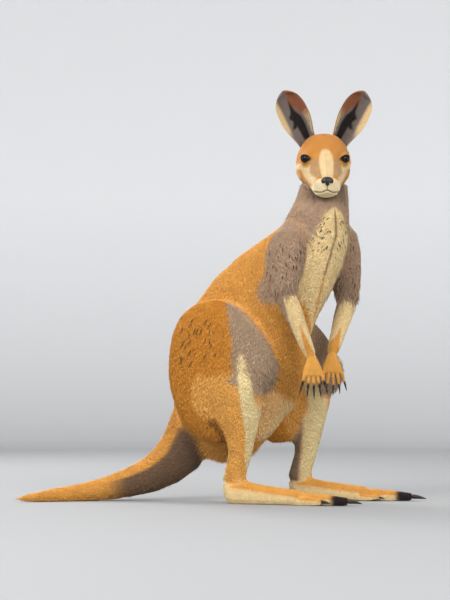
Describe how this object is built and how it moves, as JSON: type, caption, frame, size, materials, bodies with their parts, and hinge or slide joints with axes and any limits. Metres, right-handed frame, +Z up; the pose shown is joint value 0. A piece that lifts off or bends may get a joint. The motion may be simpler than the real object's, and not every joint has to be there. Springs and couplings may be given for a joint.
{
  "type": "kangaroo",
  "caption": "Still, life-size kangaroo standing upright at rest on its long hind feet and tail, head turned to look over its right side, forepaws hanging in front of the belly",
  "frame": {"origin": "on the floor, under the middle of the whole animal's bounding box", "axes": "+Z up, +X the way the hips and feet point, +Y the animal's left, so the head looks towards -Y"},
  "size_m": [1.1046, 0.3836, 1.1579],
  "materials": {
    "coat": "short dense animal fur, orange-brown on the back and haunches, grey-brown on the neck and shoulders, cream on the chest, forearms and muzzle",
    "eye": "wet, very dark brown",
    "nose_pad": "bare, finely pebbled, moist skin",
    "claw": "smooth dark horn"
  },
  "bodies": {
    "root": {"claw_foot_left_fifth": "claw", "claw_foot_left_fourth": "claw", "claw_foot_left_second": "claw", "claw_foot_left_third": "claw", "claw_foot_right_fifth": "claw", "claw_foot_right_fourth": "claw", "claw_foot_right_second": "claw", "claw_foot_right_third": "claw", "claw_hand_left_1": "claw", "claw_hand_left_2": "claw", "claw_hand_left_3": "claw", "claw_hand_left_4": "claw", "claw_hand_left_5": "claw", "claw_hand_right_1": "claw", "claw_hand_right_2": "claw", "claw_hand_right_3": "claw", "claw_hand_right_4": "claw", "claw_hand_right_5": "claw", "ear_left": "coat", "ear_right": "coat", "eye_left": "eye", "eye_right": "eye", "foot_left": "coat", "foot_right": "coat", "forearm_left": "coat", "forearm_right": "coat", "hand_left": "coat", "hand_right": "coat", "head": "coat", "neck": "coat", "nose": "nose_pad", "shin_left": "coat", "shin_right": "coat", "tail_1": "coat", "tail_2": "coat", "tail_3": "coat", "tail_4": "coat", "thigh_left": "coat", "thigh_right": "coat", "trunk": "coat", "upper_arm_left": "coat", "upper_arm_right": "coat"}
  },
  "joints": []
}
